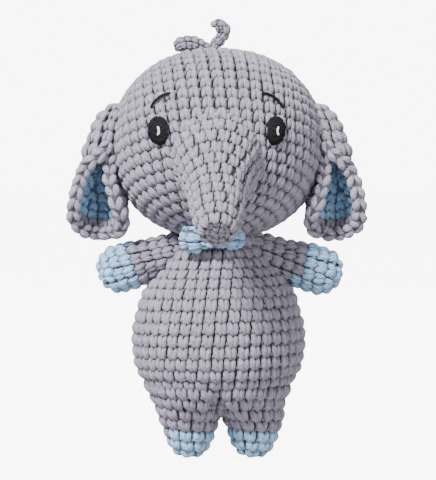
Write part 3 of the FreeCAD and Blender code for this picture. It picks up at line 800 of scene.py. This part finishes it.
LEFT_CURL = [(-2.8, 0.0, 231.0), (-1.0, 0.0, 235.6), (2.2, 0.0, 239.4), (4.4, 0.0, 243.0), (3.2, 0.0, 245.9),
             (0.4, 0.0, 246.2), (-2.6, 0.0, 244.8)]
LEFT_CURL_RADII = [(0, 3.9), (0.15, 3.4), (0.5, 3.0), (0.75, 3.1), (0.88, 3.6), (0.96, 2.8), (1, 0.5)]
RIGHT_CURL = [(-23.8, 0.0, 233.4), (-20.0, 0.0, 235.6), (-14.0, 0.0, 236.4), (-7.0, 0.0, 234.2),
              (-2.0, 0.0, 232.0)]
RIGHT_CURL_RADII = [(0, 0.4), (0.05, 2.6), (0.2, 4.2), (0.45, 4.2), (0.75, 3.0), (1, 2.2)]


def make_curl(word, path, radii, low):
    """A short worked curl of hair on the crown."""
    surface, length = tube_surface(path, radii, across=(0, 1, 0))
    work = crochet(surface, length, wide=4.6, tall=4.2, depth_scale=0.6, low=low)
    fabric(word + "_hair_curl_knit", [work], [ground(surface, sink=1.2, around=20)], GREY, word + "_curl",
           [word + "_hair_curl"])


make_curl("left", LEFT_CURL, LEFT_CURL_RADII, 0.02)
make_curl("right", RIGHT_CURL, RIGHT_CURL_RADII, 0.0)

BOW_X, BOW_Y, BOW_Z = -1.5, -31.5, 125.8
works, grounds = [], []
for side, reach, stout in ((-1, 16.4, 7.2), (1, 15.0, 5.4)):
    path = [(BOW_X + side * 2.0, BOW_Y + 0.5, BOW_Z - 0.5), (BOW_X + side * reach * 0.5, BOW_Y + 1.0, BOW_Z),
            (BOW_X + side * reach, BOW_Y + 8.0, BOW_Z + 0.3)]
    radii = [(0, 3.0), (0.25, 0.76 * stout), (0.5, stout), (0.75, stout), (0.93, 0.72 * stout), (1, 0.3)]
    surface, length = tube_surface(path, radii, across=(0, 0, 1), flat=0.95)
    works.append(crochet(surface, length, wide=5.6, tall=5.4, depth_scale=0.85, spiral=False))
    grounds.append(ground(surface, sink=1.4, around=24))
bow = fabric("bow_loops_knit", works, grounds, BLUE, "torso", ["bow_loops"])
path = [(BOW_X, BOW_Y - 1.0, BOW_Z + 5.0), (BOW_X, BOW_Y - 1.6, BOW_Z), (BOW_X, BOW_Y - 1.0, BOW_Z - 5.0)]
surface, length = tube_surface(path, [(0, 0.6), (0.1, 3.2), (0.5, 4.0), (0.9, 3.2), (1, 0.6)])
work = crochet(surface, length, wide=5.0, tall=4.6, depth_scale=0.7)
knot = fabric("bow_knot_knit", [work], [ground(surface, sink=1.2, around=20)], BLUE, "torso", ["bow_knot"])
for piece in (bow, knot):
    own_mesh(piece)

# ------------------------------------------------ eyes, brows and the neck's seam


def strand(points, thick):
    """A thin round strand through points, tapered at its ends. thick is half its width."""
    radii = [(0, 0.25 * thick), (0.06, 0.8 * thick), (0.15, thick), (0.85, thick), (0.94, 0.8 * thick),
             (1, 0.25 * thick)]
    surface, length = tube_surface(points, radii, across=(0.2, 1.0, 0.1))
    rings, sides = max(8, round(length / 0.9)), 8
    uu, vv = np.meshgrid(np.linspace(0, 1, sides, endpoint=False), np.linspace(0.004, 0.996, rings))
    co = surface(uu, vv)
    yarn = np.stack([vv * length, uu * 6.3 * thick, 0 * uu + RNG.random() * 9], -1)
    return co.reshape(-1, 3), grid_faces(rings, sides), yarn.reshape(-1, 3)


def threads(name, strands, material, body, replaces):
    """A piece made of strands. It rides a body."""
    parts = [(co, faces) for co, faces, _ in strands]
    yarn = np.concatenate([y for _, _, y in strands])
    bare = np.ones(len(yarn))
    made = build(name, parts, material, yarn=yarn, depth=bare, tone=bare * 0.5)
    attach(made, body)
    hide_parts(*replaces)


EYE_THREAD, GLINT_THREAD, BROW_THREAD, SEAM_THREAD = 0.72, 0.42, 0.78, 0.9  # half the threads' thickness
EYE_Z = 185.6
EYE_HALF_Z = 7.7
EYE_STRANDS = 11


def make_eye(word, side, middle, half_x, glint_x):
    """An eye of upright satin stitches side by side, with a small white crescent on it."""
    black, white = [], []
    for place in range(EYE_STRANDS):
        a = (place + 0.5) / EYE_STRANDS * 2 - 1
        inner = a * side < 0  # the half nearer the trunk is a little fuller
        reach = EYE_HALF_Z * (1 - abs(a) ** (3.0 if inner else 2.2)) ** 0.5 + 0.4
        t = np.linspace(-1, 1, 9)
        z = EYE_Z + t * reach * (1.02 if inner else 0.98) + 0.6 * a * side
        proud = 1.7 + 1.4 * (1 - a * a) * (1 - t ** 2)
        proud[[0, -1]] = -0.6  # the ends go down into the head
        black.append(strand(head_front(middle + a * half_x, z, proud), EYE_THREAD))
    threads(word + "_eye_floss", black, BLACK, "head", [word + "_eye"])
    for place in range(2):
        t = np.linspace(-1, 1, 7)
        x = glint_x + place * 0.5 - 0.7 * side * (1 - t ** 2)
        white.append(strand(head_front(x, EYE_Z - 0.2 + 2.5 * t, 3.5 + 0.2 * place), GLINT_THREAD))
    threads(word + "_eye_glint_floss", white, WHITE, "head", [word + "_eye_glint"])


make_eye("right", -1, -32.2, 5.2, -32.6)
make_eye("left", 1, 32.4, 4.7, 33.4)

for word, side in SIDES:
    # A brow falls in an arc from its inner end to its outer end, and both ends go down into the head.
    t = np.linspace(0, 1, 9)
    x = side * (24.6 + 12.4 * np.sin(t * math.radians(72)))
    z = 197.0 + 9.2 * np.cos(t * math.radians(88)) ** 0.9
    proud = np.full(9, 1.8)
    proud[[0, -1]] = 0.0
    brow = strand(head_front(x, z, proud), BROW_THREAD)
    threads(word + "_brow_floss", [brow], BLACK, "head", [word + "_brow"])

SEAM_Z, SEAM_RADIUS, SEAM_STITCHES = 121.6, 20.6, 30
turn = np.linspace(0, 2 * np.pi, 8 * SEAM_STITCHES + 1)
weave = turn * SEAM_STITCHES
ring = SEAM_RADIUS * (1 + 0.03 * np.cos(weave))
seam = np.stack([ring * np.sin(turn), ring * np.cos(turn), SEAM_Z + 1.6 * np.sin(weave)], -1)
threads("neck_seam_stitches", [strand(seam, SEAM_THREAD)], GREY, "neck", ["neck_seam_yarn"])

# ------------------------------------------------ floor, light and camera

BACKDROP = 8.0  # how bright the floor and the world are to the camera
FLOOR_RADIUS = 30.0  # metres
FLOOR_GREY = (0.35, 0.35, 0.355, 1)
SKY = 0.32  # how bright the world is to everything else
WHITE_LIGHT = (1, 1, 1, 1)


def bright_to_camera(tree, shader_socket, base=0.0):
    """Brightness for the camera alone, so that a white ground doesn't light the toy, over a base for all."""
    path = node(tree, "ShaderNodeLightPath")
    scale = node(tree, "ShaderNodeMath", operation="MULTIPLY_ADD")
    scale.inputs[1].default_value = BACKDROP
    scale.inputs[2].default_value = base
    tree.links.new(path.outputs["Is Camera Ray"], scale.inputs[0])
    tree.links.new(scale.outputs[0], shader_socket)


def stage_floor():
    """A plain white floor, a disc wide enough to reach the horizon."""
    rings, around = 12, 48
    r = np.linspace(0.004, 1, rings)[:, None] ** 2 * FLOOR_RADIUS
    turn = np.linspace(0, 2 * np.pi, around, endpoint=False)[None, :]
    co = np.stack([r * np.sin(turn), r * np.cos(turn), 0 * r * turn], -1).reshape(-1, 3) / MM
    white = bpy.data.materials.new("studio_white")
    white.use_nodes = True
    shader = white.node_tree.nodes["Principled BSDF"]
    shader.inputs["Base Color"].default_value = FLOOR_GREY
    shader.inputs["Roughness"].default_value = 0.9
    shader.inputs["Emission Color"].default_value = WHITE_LIGHT
    bright_to_camera(white.node_tree, shader.inputs["Emission Strength"])
    faces = grid_faces(rings, around, cap=False) + [np.arange(around)[None, ::-1]]
    floor = build("studio_floor", [(co, [f[:, ::-1] for f in faces])], white)


def area_light(name, place, size, power):
    """A soft round light that faces the middle of the toy."""
    data = bpy.data.lights.new(name, "AREA")
    data.shape = "DISK"
    data.size = size
    data.energy = power
    lamp = bpy.data.objects.new(name, data)
    lamp.location = place
    lamp.rotation_euler = (MIDDLE - Vector(place)).to_track_quat("-Z", "Y").to_euler()
    bpy.context.scene.collection.objects.link(lamp)


stage_floor()
MIDDLE = Vector((0.0, AXIS_Y, 0.13))  # metres, as are the lights' places and sizes; their powers are in watts
area_light("key", (-0.66, -0.95, 1.15), 0.42, 65)
area_light("fill", (0.75, -1.5, 0.50), 1.2, 15)
area_light("back", (0.5, 1.6, 1.1), 1.3, 42)
world = bpy.data.worlds.new("studio")
world.use_nodes = True
background = world.node_tree.nodes["Background"]
background.inputs["Color"].default_value = WHITE_LIGHT
bright_to_camera(world.node_tree, background.inputs["Strength"], base=SKY)
bpy.context.scene.world = world

DISTANCE = 1.2  # metres from the toy's middle
ELEVATION = math.radians(1.5)
AIM = Vector((0.0006, AXIS_Y, 0.1245))
LENS, SENSOR = 157.7, 36  # mm
camera = bpy.data.objects.new("camera", bpy.data.cameras.new("camera"))
camera.data.lens = LENS
camera.data.sensor_width = SENSOR
camera.location = AIM + DISTANCE * Vector((0, -math.cos(ELEVATION), math.sin(ELEVATION)))
camera.rotation_euler = (AIM - camera.location).to_track_quat("-Z", "Y").to_euler()
bpy.context.scene.collection.objects.link(camera)
bpy.context.scene.camera = camera
